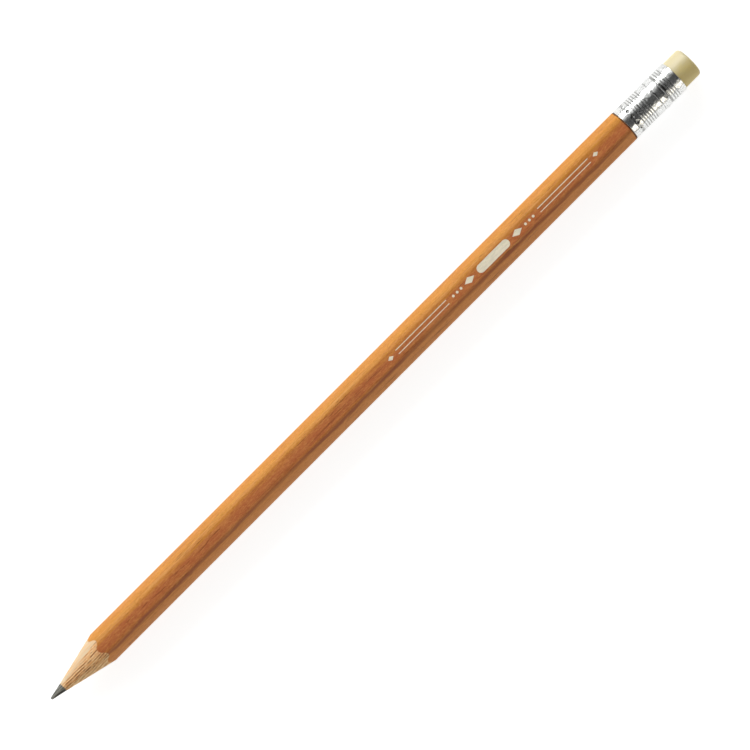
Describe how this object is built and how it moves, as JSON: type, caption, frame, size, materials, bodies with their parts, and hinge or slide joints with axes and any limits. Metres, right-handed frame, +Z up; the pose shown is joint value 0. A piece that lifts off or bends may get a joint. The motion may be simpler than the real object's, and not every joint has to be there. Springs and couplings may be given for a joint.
{
  "type": "pencil with eraser",
  "caption": "Sharpened wood-cased hexagonal pencil with an amber varnish, a graphite core, a crimped metal ferrule and a cream eraser.",
  "frame": {"origin": "under the middle of the pencil's length, on the surface that it lies on, which the ferrule's bead touches", "axes": "+X along the pencil from the point to the eraser, +Z up with one flat of the hexagon on top, +Y across"},
  "size_m": [0.19, 0.0078, 0.0079],
  "materials": {
    "graphite": "satin",
    "bare_wood": "matte",
    "amber_varnish": "satin",
    "ferrule_metal": "polished",
    "eraser_rubber": "matte"
  },
  "bodies": {
    "root": {"graphite_core": "graphite", "upper_slat": "bare_wood", "lower_slat": "bare_wood", "varnish_coat": "amber_varnish", "ferrule": "ferrule_metal", "eraser": "eraser_rubber"}
  },
  "joints": []
}
